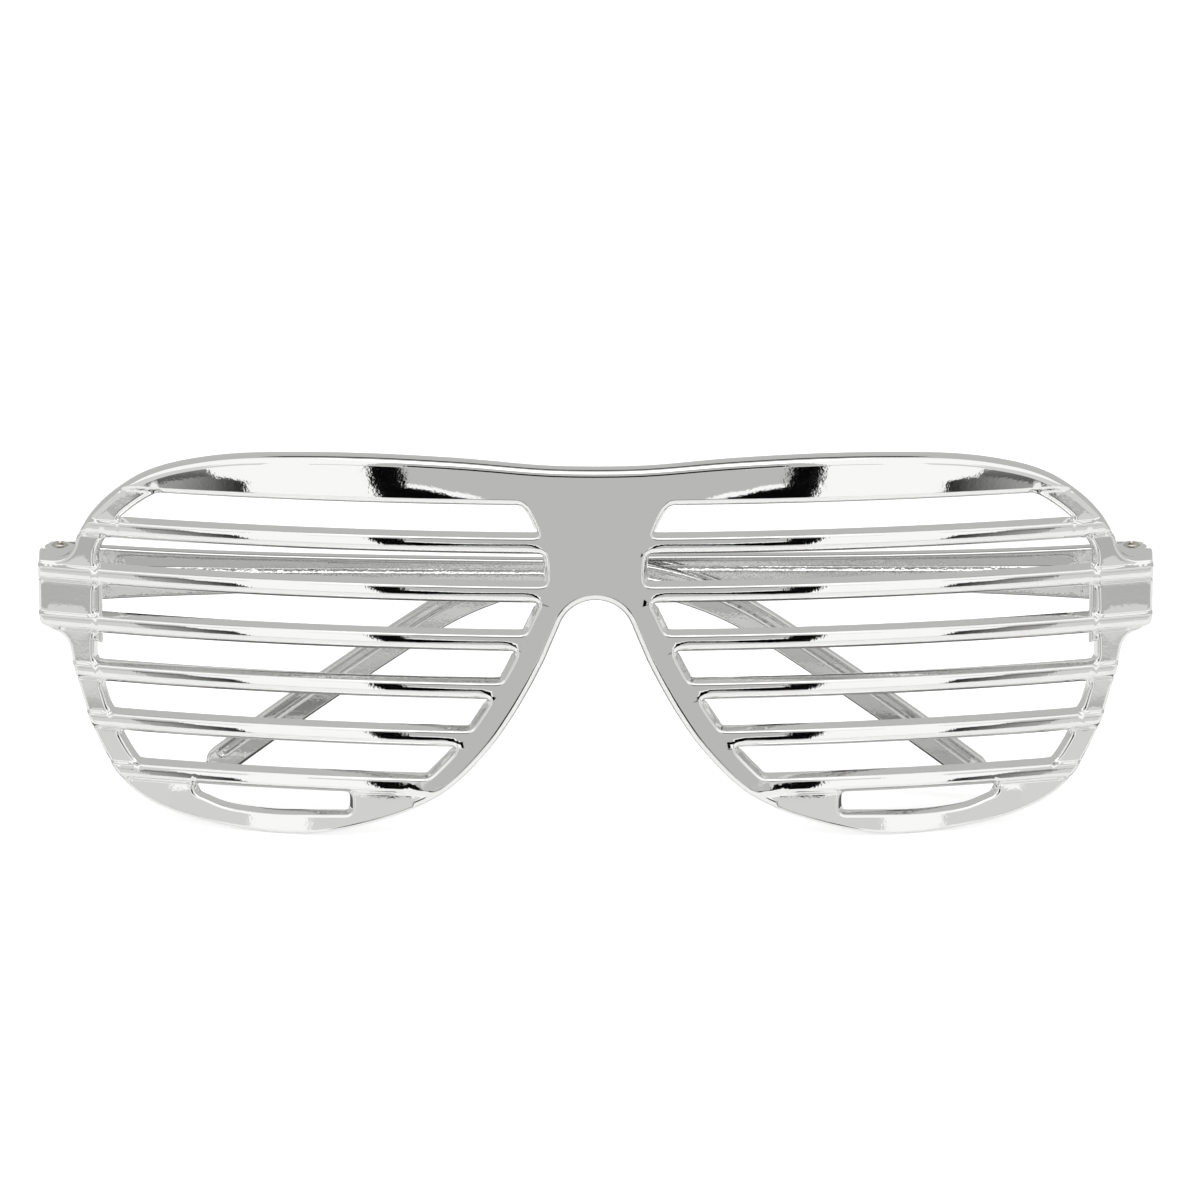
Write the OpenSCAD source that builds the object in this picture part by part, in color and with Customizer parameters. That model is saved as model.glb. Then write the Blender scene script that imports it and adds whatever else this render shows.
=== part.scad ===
// Slatted party glasses, shown folded: a wrapped front with two barrel hinges and two hooked temples.
// The origin is the centre of the nose arch, halfway through the front. The face looks along -Y.

/* [Front] */
// Width from one lug's side to the other's
front_w = 150.8; // [147:0.1:155]
// Radius of the face's wrap at its front surface
wrap_r = 182; // [165:1:210]
// Thickness of the front, face to back
plate_t = 3; // [2.6:0.1:3.6]
// Height of the brow's crest above the nose arch's centre
brow_top = 23.9; // [23:0.1:25]
// How far the brow swells forward of the face
brow_swell = 0.8; // [0.4:0.1:1.2]
// Depth of the lenses' lowest edge below the nose arch's centre
lens_drop = 27.25; // [26.8:0.05:28.5]

/* [Nose] */
// Radius of the arch that sits on the nose
arch_r = 5; // [4.6:0.1:5.4]
// Lean of the nose flanks away from upright
flank_lean = 22.8; // [20:0.1:25]
// Straight length of each flank below the arch
flank_l = 5.5; // [4:0.1:7]
// Width of the bridge between the lenses at its narrowest
bridge_w = 12.8; // [12:0.1:14]

/* [Slats] */
// Open rows in each lens above the lower panel
rows = 6; // [4:1:6]
// Distance from one row to the next
row_pitch = 6.53; // [6.4:0.01:6.58]
// Height of an open row at the face
row_h = 4.17; // [3.8:0.01:4.4]
// Upper edge of the top row above the nose arch's centre
row_top = 17.65; // [17.2:0.05:18]
// Draft of the slats' upper and lower faces
slat_draft = 6; // [3:0.5:8]
// Rounding of each slat's upper front edge
slat_round_up = 0.4; // [0.2:0.05:0.6]
// Rounding of each slat's lower front edge
slat_round_low = 0.9; // [0.5:0.05:1.1]
// Width of the rim round the slats
rim_w = 3.1; // [2.8:0.1:3.6]
// Height of the slats' ribs where they cross the rim
rib_h = 0.7; // [0.4:0.1:0.9]
// Height of the crescent opening in the lower panel
crescent_h = 3.3; // [2.6:0.1:3.6]
// Length of the crescent opening
crescent_l = 21.4; // [18:0.1:24]

/* [Lugs] */
// How far each lug stands out past the rim
lug_step = 4.9; // [4:0.1:6]
// Height of the lugs' upper face above the nose arch's centre
lug_top = 7.5; // [7:0.1:8]
// Height of a lug
lug_h = 9.4; // [9:0.1:10]
// Distance of the lugs' rear face behind the middle of the front
lug_back = 23.5; // [22.5:0.1:26]
// Wall of a lug where it carries the hinge
lug_wall = 4.9; // [4.6:0.1:5.4]
// Reach of the soft corner where the brow runs out onto a lug
lug_blend = 2.9; // [2:0.1:3.4]
// Reach of the soft corners under a lug
lug_round = 2; // [1.4:0.1:2.4]
// Reach of the tight corner at the lug's upper outer end
lug_edge = 0.6; // [0.3:0.1:1]
// Step by which a lug's lower edge and inner end slant
lug_slant = 0.3; // [0.1:0.05:0.5]

/* [Hinges] */
// Distance from a lug's side to the hinge axis
hinge_in = 2.7; // [2.6:0.05:3]
// Distance from a lug's rear face to the hinge axis
hinge_back = 2; // [2:0.05:2.3]
// Height of the whole hinge
hinge_h = 8; // [7.6:0.1:8.4]
// Height of each of the lug's two ears
ear_h = 2; // [1.8:0.1:2.2]
// Radius of an ear
ear_r = 2.1; // [2:0.05:2.2]
// Distance from the hinge axis to the outer side of the web that carries an ear
ear_web = 1.25; // [1.1:0.05:1.4]
// Radius of the temple's knuckle
knuckle_r = 1.8; // [1.6:0.05:1.85]
// Gap between parts that swing past each other
swing_gap = 0.15; // [0.1:0.01:0.2]
// Radius of the hinge screw's shank
screw_r = 0.8; // [0.7:0.05:0.9]
// Radius of the screw's head
screw_head_r = 1.2; // [1.1:0.05:1.4]
// Height of the screw's head
screw_head_h = 0.55; // [0.4:0.05:0.7]
// Width of the cross slot in the screw's head
slot_w = 0.3; // [0.2:0.05:0.4]
// Gap round the shank in the turning knuckle
screw_gap = 0.06; // [0.03:0.01:0.1]
// Gap round the shank in the upper ear, which it passes freely
upper_gap = 0.08; // [0.05:0.01:0.1]
// Gap round the shank in the lower ear, which holds it
lower_gap = 0.02; // [0.01:0.01:0.04]

/* [Temples] */
// Straight length from the hinge axis to the bend
temple_l = 72; // [68:0.5:76]
// Radius of the bend over the ear
bend_r = 44; // [36:1:50]
// Angle of the bend over the ear
bend_a = 33; // [25:1:38]
// Length of the hook behind the bend
hook_l = 34; // [28:1:38]
// Further turn of the hook down to its tip
hook_a = 4; // [2:0.5:8]
// Height of the hook
hook_h = 4.05; // [3.6:0.05:4.6]
// Length over which the root tapers down to the arm
taper_l = 26; // [20:1:32]
// Thickness of the temple at its root
temple_t = 2.7; // [2.6:0.05:2.9]
// Thickness of the temple at its tip
tip_t = 2.2; // [1.8:0.1:2.5]
// Depth of the groove along the temple's inner face
groove_d = 0.6; // [0.3:0.1:0.9]
// Distance from the hinge axis to the start of the groove
groove_start = 8.7; // [7:0.1:12]
// Turn of both folded temples that lets them lie one behind the other
stack_a = 1.2; // [1.18:0.01:1.4]

/* [Hidden] */
$fn = 64;

// Room that a cut takes past the faces it opens
over = 1;
half_w = front_w / 2;
rim_x = half_w - lug_step;
wrap_y = wrap_r - plate_t / 2;
inner_r = wrap_r - plate_t;
lug_low = lug_top - lug_h;
hinge_x = half_w - hinge_in;
hinge_y = lug_back + hinge_back;
hinge_top = lug_top;
hinge_low = hinge_top - hinge_h;
// Distance from the middle beyond which the rim is sunk between the ribs
sunk_x = rim_x * 0.8;

// Brow line, from the middle outward, in shares of the rim's half width and the brow's height
brow_line = [[0, 0.9435], [0.06, 0.9455], [0.122, 0.954], [0.272, 0.987], [0.46, 1], [0.648, 0.979],
    [0.766, 0.925], [0.85, 0.843], [0.913, 0.72], [0.957, 0.588], [0.985, 0.452]];
// Lower line, from the lug round to the nose, in shares of the rim's half width and the lens drop
lower_line = [[0.996, 0.22], [0.982, 0.356], [0.96, 0.53], [0.928, 0.69], [0.889, 0.8165], [0.83, 0.9046],
    [0.742, 0.965], [0.637, 0.9963], [0.566, 1], [0.495, 0.98], [0.403, 0.9174], [0.325, 0.8367],
    [0.264, 0.732], [0.1986, 0.554], [0.153, 0.385], [0.118, 0.228]];
// Inner ends of the rows, from the brow down, as steps from the bridge's side and from the row top
bridge_line = [[5.4, 1.6], [3.2, 0], [1.5, -2.6], [0.2, -6.6], [0, -10], [0.7, -12.8], [1.9, -15.2],
    [4.7, -21.4], [8.2, -27.5], [12.4, -33.4], [18, -39]];

function unit(v) = v / norm(v);
function scaled(line, x, z) = [for (p = line) [p.x * x, p.y * z]];

// Smooth curve through the points of a list, with n steps from each to the next
function through(p, n = 3) = concat(
    [for (i = [0:len(p) - 2], j = [0:n - 1])
        let (t = j / n, a = p[max(i - 1, 0)], b = p[i], c = p[i + 1], d = p[min(i + 2, len(p) - 1)])
        (2 * b + (c - a) * t + (2 * a - 5 * b + 4 * c - d) * t * t
            + (3 * b - a - 3 * c + d) * t * t * t) / 2],
    [p[len(p) - 1]]);

// Soft corner at b on the way from a to c, which starts and ends a reach away from b
function bent(a, b, c, reach, n = 5) =
    let (u = b + unit(a - b) * reach, w = b + unit(c - b) * reach)
    [for (i = [0:n]) let (t = i / n) (1 - t) * (1 - t) * u + 2 * t * (1 - t) * b + t * t * w];

// Convex quarter round between two edges of a profile, from the first angle to the second
function quarter(centre, r, from, to, n = 4) =
    [for (i = [0:n]) let (a = from + (to - from) * i / n) centre + r * [cos(a), sin(a)]];

brow_curve = through(scaled(brow_line, rim_x, brow_top));
// The flanks run a hair inside the arch's circle, so that the arch cuts them cleanly
hair = 0.02;
flank_top = (arch_r - hair) * [cos(flank_lean), sin(flank_lean)];
flank_end = flank_top + flank_l * [sin(flank_lean), -cos(flank_lean)];
lower_curve = concat(through(scaled(lower_line, rim_x, -lens_drop)), [flank_end, flank_top]);

// The lug's four corners: inner upper, outer upper, outer lower, inner lower
brow_foot = brow_curve[len(brow_curve) - 1];
lug_corners = [[rim_x - lug_slant, lug_top], [half_w, lug_top], [half_w, lug_low + lug_slant],
    [rim_x + lug_slant, lug_low - 2.3 * lug_slant]];
lug_curve = concat(
    bent(brow_foot, lug_corners[0], lug_corners[1], lug_blend),
    bent(lug_corners[0], lug_corners[1], lug_corners[2], lug_edge),
    bent(lug_corners[1], lug_corners[2], lug_corners[3], lug_round),
    bent(lug_corners[2], lug_corners[3], lower_curve[0], lug_round));

function flipped(line) = [for (i = [len(line) - 1:-1:0]) [-line[i].x, line[i].y]];
front_half = concat(brow_curve, lug_curve, lower_curve);
rim_half = concat(brow_curve, lower_curve);

// Raises a flat shape drawn in X and Z into a prism that runs from one Y to another
module along_y(from, to) {
    translate([0, to, 0]) rotate([90, 0, 0]) linear_extrude(to - from) children();
}

// Sweeps a profile of radius and height round the wrap's upright axis, across the whole face
module round_wrap() {
    sweep = 52;
    translate([0, wrap_y, 0]) rotate([0, 0, -90 - sweep / 2])
        rotate_extrude(angle = sweep, $fn = 120) children();
}

module front_outline() {
    polygon(concat(front_half, flipped(front_half)));
}

// The area that the slats cross, on the +X side
module lens_area() {
    side = bridge_w / 2;
    inner = [for (p = through(bridge_line)) [side + p.x, row_top + p.y]];
    reach = half_w + over;
    intersection() {
        offset(delta = -rim_w) polygon(concat(rim_half, flipped(rim_half)));
        polygon(concat(inner, [[reach, inner[len(inner) - 1].y], [reach, inner[0].y]]));
    }
}

// Section of one open row: drafted upper and lower faces that round over into the slats' fronts
module row_section(top, depth) {
    low = top - row_h;
    back = depth + over;
    lean = tan(slat_draft);
    up = quarter([wrap_r - slat_round_up, low - slat_round_up], slat_round_up, 90 - slat_draft, 0);
    down = quarter([wrap_r - slat_round_low, top + slat_round_low], slat_round_low, 0, slat_draft - 90);
    clear = wrap_r + brow_swell + over;
    polygon(concat(
        [[wrap_r - back, low + lean * back]], up, [[clear, low - slat_round_up], [clear, top + slat_round_low]],
        down, [[wrap_r - back, top - lean * back]]));
}

// Section of the sunk rim between two ribs, a little narrower than the row so that the ribs stand full
module sunk_section(top) {
    low = top - row_h;
    inset = 0.15;
    floor_r = wrap_r - rib_h;
    clear = wrap_r + brow_swell + over;
    polygon([[floor_r, low + inset], [clear, low - inset], [clear, top + inset], [floor_r, top - inset]]);
}

module rows_cut() {
    for (k = [0:rows - 1]) round_wrap() row_section(row_top - k * row_pitch, plate_t);
}

module rim_cut() {
    for (k = [0:rows - 1]) round_wrap() sunk_section(row_top - k * row_pitch);
}

// Crescent opening: straight above, bowed below, with round ends
module crescent() {
    x = rim_x * 0.61;
    z = row_top - rows * row_pitch;
    l = crescent_l / 2;
    corners = [[x - l, z], [x + l, z], [x + l * 0.8, z - crescent_h * 0.62], [x + l * 0.1, z - crescent_h],
        [x - l, z - crescent_h * 0.92]];
    reaches = crescent_h * [0.27, 0.18, 0.67, 1.5, 0.36];
    n = len(corners);
    polygon([for (i = [0:n - 1])
        each bent(corners[(i + n - 1) % n], corners[i], corners[(i + 1) % n], reaches[i])]);
}

// Plan of a lug: it turns back from the front and thins towards the hinge
module lug_plan() {
    back_x = half_w - lug_wall;
    start_x = rim_x * 0.936;
    soft = lug_wall / 2;
    start_y = wrap_y - sqrt(inner_r * inner_r - start_x * start_x) - over;
    polygon(concat(
        [[start_x, start_y], [half_w, wrap_y - sqrt(inner_r * inner_r - half_w * half_w) - over],
            [half_w, lug_back], [back_x, lug_back]],
        bent([back_x, lug_back], [back_x, start_y + soft], [start_x, start_y], soft)));
}

// Two ears on the lug's rear face, one above and one below the temple's knuckle
module hinge_ears() {
    web_x = hinge_x - ear_r * 0.96;
    web_w = hinge_x + ear_web - web_x;
    for (z = [hinge_low, hinge_top - ear_h]) {
        translate([hinge_x, hinge_y, z]) cylinder(r = ear_r, h = ear_h);
        translate([web_x, lug_back - over, z]) cube([web_w, hinge_back + over, ear_h]);
    }
}

module hinge_bores() {
    low_r = screw_r + lower_gap;
    high_r = screw_r + upper_gap;
    translate([hinge_x, hinge_y, hinge_low - over]) cylinder(r = low_r, h = ear_h + 2 * over);
    translate([hinge_x, hinge_y, hinge_top - ear_h - over]) cylinder(r = high_r, h = ear_h + 2 * over);
}

// Section of the whole front: an even wall, and a brow that swells forward above the top row
module front_section() {
    low = row_top + slat_round_low + 0.1;
    high = brow_top + over;
    n = 6;
    swell = [for (i = [0:n]) let (t = i / n)
        [wrap_r + brow_swell * sin(180 * (0.06 + 0.7 * t)), low + (high - low) * t]];
    polygon(concat([[inner_r, -lens_drop - over], [wrap_r, -lens_drop - over], [wrap_r, low]], swell,
        [[inner_r, high]]));
}

module front_frame() {
    front_y = -plate_t / 2 - brow_swell - over;
    color("silver") difference() {
        union() {
            intersection() {
                union() {
                    round_wrap() front_section();
                    for (s = [0, 1]) mirror([s, 0, 0])
                        translate([0, 0, lug_low - 0.4]) linear_extrude(lug_h + 0.9) lug_plan();
                }
                along_y(front_y, lug_back + over) front_outline();
            }
            for (s = [0, 1]) mirror([s, 0, 0]) hinge_ears();
        }
        for (s = [0, 1]) mirror([s, 0, 0]) {
            intersection() {
                rows_cut();
                along_y(front_y - over, lug_back) lens_area();
            }
            intersection() {
                rim_cut();
                translate([sunk_x, front_y, -half_w]) cube([half_w, lug_back, front_w]);
            }
            along_y(front_y, lug_back) crescent();
            hinge_bores();
        }
        along_y(front_y, plate_t + over) circle(r = arch_r);
    }
}

// Point on the temple's centre line at a distance s from the hinge axis, then the line's slope there
function temple_at(s) =
    let (mid = hinge_low + hinge_h / 2, bend_l = bend_r * bend_a * PI / 180,
        e = [temple_l + bend_r * sin(bend_a), mid - bend_r * (1 - cos(bend_a))], q = s - temple_l - bend_l)
    s < temple_l ? [s, mid, 0]
    : q < 0 ? let (a = (s - temple_l) / bend_r * 180 / PI)
        [temple_l + bend_r * sin(a), mid - bend_r * (1 - cos(a)), a]
    : let (a = bend_a + hook_a * q / hook_l, m = (bend_a + a) / 2) [e.x + q * cos(m), e.y - q * sin(m), a];

// Half the temple's height at a distance s from the hinge axis
function temple_half(s) = hook_h / 2 + (hinge_h - hook_h) / 2 * exp(-max(s, 0) / taper_l);

// Point beside the centre line, a share of the half height above it
function beside(s, share) = let (p = temple_at(s)) [p.x, p.y] + share * temple_half(s) * [sin(p.z), cos(p.z)];

// Strip along the temple from one distance to another, between two shares of the half height
function strip(from, to, low, high, step = 4) =
    let (n = ceil((to - from) / step), at = [for (i = [0:n]) from + (to - from) * i / n])
    concat([for (s = at) beside(s, high)], round_end(to, low, high, 1),
        [for (i = [n:-1:0]) beside(at[i], low)]);

// Half circle that closes a strip, forward at its far end and backward at its near one
function round_end(s, low, high, way, n = 8) =
    let (p = temple_at(s), mid = beside(s, (low + high) / 2), r = temple_half(s) * (high - low) / 2)
    [for (i = [1:n - 1]) let (a = 90 - way * 180 * i / n - p.z) mid + r * [cos(a), sin(a)]];

temple_end = temple_l + bend_r * bend_a * PI / 180 + hook_l;

// A temple in its own frame: hinge axis at the origin, arm along +X, outer face towards +Y
module temple() {
    butt = swing_gap - hinge_back;
    outer = hinge_in;
    inner = hinge_in - temple_t;
    mid = hinge_low + hinge_h / 2;
    end_x = temple_at(temple_end).x + hook_h;
    pocket_r = ear_r + swing_gap;
    pocket_h = ear_h + swing_gap;
    tip = temple_end - hook_h / 2;
    groove_low = 0.06;
    groove_high = 0.76;
    difference() {
        union() {
            intersection() {
                along_y(inner - over, outer + over) union() {
                    translate([butt, hinge_low]) square([over - butt, hinge_h]);
                    polygon(strip(0, tip, -1, 1));
                }
                translate([0, 0, mid - hinge_h * 4]) linear_extrude(hinge_h * 5)
                    polygon([[butt, inner], [end_x, inner], [end_x, inner + tip_t], [temple_l / 2, outer],
                        [butt, outer]]);
            }
            translate([0, 0, hinge_low + pocket_h]) cylinder(r = knuckle_r, h = hinge_h - 2 * pocket_h);
        }
        for (z = [hinge_low - over, hinge_top - pocket_h]) translate([0, 0, z]) {
            cylinder(r = pocket_r, h = pocket_h + over);
            translate([butt - over, inner - over, 0])
                cube([over - butt, ear_web + swing_gap - inner + over, pocket_h + over]);
        }
        translate([0, 0, hinge_low]) cylinder(r = screw_r + screw_gap, h = hinge_h);
        along_y(inner - over, inner + groove_d) polygon(concat(
            strip(groove_start, tip - hook_h * 0.3, groove_low, groove_high),
            round_end(groove_start, groove_high, groove_low, -1)));
    }
}

module right_temple() {
    color("silver") translate([-hinge_x, hinge_y, 0]) rotate([0, 0, -stack_a]) temple();
}

module left_temple() {
    color("silver") translate([hinge_x, hinge_y, 0]) rotate([0, 0, -stack_a]) mirror([1, 0, 0]) temple();
}

// Hinge screw: a shank through both ears and the knuckle, with a domed cross-slotted head on top
module hinge_screw() {
    dome_r = (screw_head_r * screw_head_r + screw_head_h * screw_head_h) / (2 * screw_head_h);
    slot = [screw_head_r * 1.3, slot_w, screw_head_h];
    short = ear_h * 0.15;
    translate([0, 0, hinge_low + short]) cylinder(r = screw_r, h = hinge_h - short + screw_head_h * 0.2);
    translate([0, 0, hinge_top]) difference() {
        intersection() {
            cylinder(r = screw_head_r, h = screw_head_h);
            translate([0, 0, screw_head_h - dome_r]) sphere(r = dome_r);
        }
        for (a = [0, 90]) rotate([0, 0, a])
            translate([-slot.x / 2, -slot.y / 2, screw_head_h * 0.4]) cube(slot);
    }
}

module right_hinge_screw() {
    color("silver") translate([-hinge_x, hinge_y, 0]) hinge_screw();
}

module left_hinge_screw() {
    color("silver") translate([hinge_x, hinge_y, 0]) hinge_screw();
}

front_frame();
right_temple();
left_temple();
right_hinge_screw();
left_hinge_screw();
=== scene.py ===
"""Slatted party glasses in bright-plated plastic, folded, on a white sheet among studio cards."""
from math import cos, pi, radians, sin, sqrt, tan

import bpy
import numpy as np
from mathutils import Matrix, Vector
from mathutils.geometry import delaunay_2d_cdt


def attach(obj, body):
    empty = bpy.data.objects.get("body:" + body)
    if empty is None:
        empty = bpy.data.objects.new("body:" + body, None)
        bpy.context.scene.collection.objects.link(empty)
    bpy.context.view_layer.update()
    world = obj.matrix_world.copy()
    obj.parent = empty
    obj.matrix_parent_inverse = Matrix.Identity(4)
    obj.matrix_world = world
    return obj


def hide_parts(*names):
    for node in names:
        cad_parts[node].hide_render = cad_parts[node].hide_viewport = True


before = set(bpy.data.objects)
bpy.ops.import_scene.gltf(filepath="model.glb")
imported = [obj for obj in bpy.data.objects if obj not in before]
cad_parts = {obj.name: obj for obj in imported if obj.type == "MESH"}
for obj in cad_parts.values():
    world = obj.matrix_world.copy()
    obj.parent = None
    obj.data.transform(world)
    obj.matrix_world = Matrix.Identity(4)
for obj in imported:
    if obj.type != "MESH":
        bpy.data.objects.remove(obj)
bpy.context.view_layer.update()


# Front
# The front is one moulding in ABS: a 3 mm plate that wraps round the face, with a brow, six slats, a lower
# panel with a crescent in each lens, and a lug at each end that carries two ears of a barrel hinge.
# All lengths in this file are in mm, as on the CAD drawing, and turn into metres with the meshes.
half_w = 75.4                            # from the middle to the lug's outer side
rim_x = 70.5                             # from the middle to the lens rim's outer side
plate_t = 3.0
wrap_r = 182.0                           # the outer arc of the wrap, seen from above
inner_r = wrap_r - plate_t
wrap_y = wrap_r - plate_t / 2            # the wrap's axis, behind the origin
brow_top, lens_drop = 23.9, 27.25        # highest and lowest edge
rows, row_pitch, row_h, row_top = 6, 6.53, 4.17, 17.65
rim_w = 3.1
brow_swell, brow_crest = 0.4, 22.0       # how far the brow swells forward, and at what height most
swell_start, swell_full = 4, 22          # x from which it swells, and where it is full
swell_fade, swell_end = 40, 70           # x where it fades, and where it ends
swell_h = brow_crest - row_top + 0.4     # height over which it fades downwards
arch_r, flank_lean, flank_l, bridge_w = 5.0, radians(22.8), 5.5, 12.8
rib_h = 0.7                              # height of the ribs over the sunk rim between them
lip_low, lip_up = 0.95, 0.4              # radius of a row's lower and upper lip
step_in, step_out, step_deep = 0.05, 0.1, 0.15  # how far a step in the face reaches past its edge
end_in, end_out = 0.7, 0.2               # the same at a row's end
slat_bow, slat_crest = 0.12, lip_low + 0.85     # bow of a slat's front, per mm, and its crest's height
bow_start, bow_full = -1, 2.5            # where it starts and is full, from the bridge's side
panel_sunk, panel_x = 0.7, (19, 25)      # share of rib_h that the lower panel's rim sinks, from x to x
lower_bow, lower_start = 0.0045, -10     # curve of the lower plate, per mm, and where it starts
crescent_x, crescent_h, crescent_l = rim_x * 0.61, 3.3, 21.4
draft, end_draft = tan(radians(6)), tan(radians(12))  # lean of the rows' walls, and at their ends


def smooth_line(points, steps=16):
    """Smooth curve through the points: the cubic whose slope at a point is half the step between the
    points beside it."""
    p = np.asarray(points, float)
    a, b = np.vstack([p[:1], p[:-2]]), p[:-1]
    c, d = p[1:], np.vstack([p[2:], p[-1:]])
    t = (np.arange(steps) / steps)[None, :, None]
    a, b, c, d = (q[:, None, :] for q in (a, b, c, d))
    square, cube = 2 * a - 5 * b + 4 * c - d, 3 * b - a - 3 * c + d
    curve = (2 * b + (c - a) * t + square * t ** 2 + cube * t ** 3) / 2
    return np.vstack([curve.reshape(-1, 2), p[-1:]])


def soft_corner(a, b, c, reach, steps=10):
    """Parabola that rounds the corner b of the way a-b-c, from a reach before b to a reach after it."""
    a, b, c = (np.asarray(q, float) for q in (a, b, c))
    u = b + (a - b) / np.linalg.norm(a - b) * reach
    w = b + (c - b) / np.linalg.norm(c - b) * reach
    t = np.linspace(0, 1, steps + 1)[:, None]
    return (1 - t) ** 2 * u + 2 * t * (1 - t) * b + t ** 2 * w


def softened(corners, reaches, steps=10):
    """Closed loop through the corners, each rounded by its own reach."""
    after = corners[1:] + corners[:1]
    return np.vstack([soft_corner(corners[i - 1], corners[i], after[i], reach, steps)
                      for i, reach in enumerate(reaches)])


def circle(r, angles):
    """Points at the angles, in radians, on a circle of radius r round the origin."""
    return r * np.stack([np.cos(angles), np.sin(angles)], axis=1)


def run_of(line):
    """Distance along the line to each of its points: the running sum of its steps."""
    return np.concatenate([[0], np.cumsum(np.hypot(*np.diff(line, axis=0).T))])


def points_at(where, run, line):
    """Points at the distances where on a line whose own points lie at the distances run."""
    return np.stack([np.interp(where, run, line[:, k]) for k in (0, 1)], axis=1)


def rounded(loop, reach, step=0.06):
    """The loop with its corners rounded: a moving mean of two passes over a window of the reach."""
    ring = np.vstack([loop, loop[:1]])
    run = run_of(ring)
    n = int(run[-1] / step)
    p = points_at(np.arange(n) / n * run[-1], run, ring)
    w = int(reach / step)
    for _ in range(2):
        pad = np.vstack([p[-w:], p, p[:w]])
        total = np.vstack([[0, 0], np.cumsum(pad, axis=0)])
        p = (total[2 * w + 1:] - total[:-2 * w - 1]) / (2 * w + 1)
    return p


def signed_area(loop):
    """Half the sum of the cross products of neighbours: positive for a loop that runs anticlockwise."""
    x, y = loop.T
    return 0.5 * np.sum(x * np.roll(y, -1) - np.roll(x, -1) * y)


def turned(loop, way=1):
    """The loop run anticlockwise for way 1, round material, or clockwise for way -1, round a hole."""
    return loop if signed_area(loop) * way > 0 else loop[::-1]


def spaced(loop, depth, longest, turn=0.2, drop=0.08, fine_step=0.08):
    """The loop with points set closer where it bends or its face sinks: equal steps of the sum of
    length / longest, angle / turn and change of depth / drop. The bend is read from a copy in fine
    steps, smoothed by two means over five points."""
    ring = np.vstack([loop, loop[:1]])
    ring = ring[np.concatenate([[True], np.diff(run_of(ring)) > 1e-7])]
    run = run_of(ring)
    fine = np.unique(np.concatenate([run, np.linspace(0, run[-1], int(run[-1] / fine_step) + 2)]))
    p = points_at(fine, run, ring)
    for _ in range(2):
        p = np.mean([points_at((fine + k * fine_step) % run[-1], fine, p) for k in range(-2, 3)], axis=0)
    step = np.diff(p, axis=0)
    angle = np.unwrap(np.arctan2(step[:, 1], step[:, 0]))
    whole_turns = np.round((angle[-1] - angle[0]) / 2 / pi) * 2 * pi
    bend = np.abs(np.diff(np.concatenate([angle, angle[:1] + whole_turns])))
    bend = (bend + np.roll(bend, 1)) / 2
    cost = np.hypot(*step.T) / longest + bend / turn + np.abs(np.diff(depth(*p.T))) / drop
    total = np.concatenate([[0], np.cumsum(cost)])
    n = int(np.ceil(total[-1]))
    return points_at(np.interp(np.arange(n) / n * total[-1], total, fine), fine, p)


def offset_line(line, gap):
    """The line moved sideways by the gap, to its right as it runs."""
    way = np.gradient(line, axis=0)
    way /= np.linalg.norm(way, axis=1)[:, None]
    return line + gap * np.stack([way[:, 1], -way[:, 0]], axis=1)


def x_at(line, z):
    """Where a line that only falls has the height z."""
    order = np.argsort(line[:, 1])
    return np.interp(z, line[order, 1], line[order, 0])


def ramp(v, low, high):
    """Smooth step from 0 at low to 1 at high: 3 t^2 - 2 t^3."""
    t = np.clip((v - low) / (high - low), 0, 1)
    return t * t * (3 - 2 * t)


# The outline, on the plan of x and z: brow, lug, lower rim, nose flank and arch of the +X half, then the
# same mirrored. Brow and lower rim are shares of the rim's half width and of their own height.
lug_top, lug_low, lug_back, lug_wall, lug_front = 7.5, -1.9, 23.5, 4.9, 74.8
brow_line = smooth_line(np.array([
    [0, 0.9435], [0.06, 0.9455], [0.122, 0.954], [0.272, 0.987], [0.46, 1], [0.648, 0.979], [0.766, 0.925],
    [0.85, 0.843], [0.913, 0.72], [0.957, 0.588], [0.985, 0.452]]) * [rim_x, brow_top])
brow_line[:, 1] = np.minimum(brow_line[:, 1], brow_top - 0.005)
lower_line = smooth_line(np.array([
    [0.996, 0.22], [0.982, 0.356], [0.96, 0.53], [0.928, 0.69], [0.889, 0.8165], [0.83, 0.9046],
    [0.742, 0.965], [0.637, 0.9963], [0.566, 1], [0.495, 0.98], [0.403, 0.9174], [0.325, 0.8367],
    [0.264, 0.732], [0.1986, 0.554], [0.153, 0.385], [0.118, 0.228]]) * [rim_x, -lens_drop])
bridge_side = smooth_line(np.array([
    [5.4, 1.6], [3.2, 0], [1.5, -2.6], [0.2, -6.6], [0, -10], [0.7, -12.8], [1.9, -15.2], [4.7, -21.4],
    [8.2, -27.5], [12.4, -33.4], [18, -39]]) + [bridge_w / 2, row_top])
lug_way = [brow_line[-1], (rim_x - 0.3, lug_top), (lug_front, lug_top), (lug_front, lug_low + 0.3),
           (rim_x + 0.3, lug_low - 0.7), lower_line[0]]
lug_corners = [soft_corner(*lug_way[i:i + 3], reach) for i, reach in enumerate((2.9, 0.6, 2, 2))]
arch = circle(arch_r, np.linspace(flank_lean, pi / 2, 24))
flank_end = arch[0] + flank_l * np.array([sin(flank_lean), -cos(flank_lean)])
half_outline = np.vstack([brow_line, *lug_corners, lower_line, flank_end[None], arch])
outline = turned(np.vstack([half_outline, half_outline[-2:0:-1] * [-1, 1]]))

rim_inner = np.vstack([offset_line(brow_line, rim_w)[-90:], offset_line(lower_line, rim_w)[:200]])
rim_inner = rim_inner[np.concatenate([[True], np.diff(rim_inner[:, 1]) < -1e-6])]
row_tops = [row_top - k * row_pitch for k in range(rows)]
panel_top = row_top - rows * row_pitch
slot_ends = [(x_at(rim_inner, top), x_at(rim_inner, top - row_h)) for top in row_tops]


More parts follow.
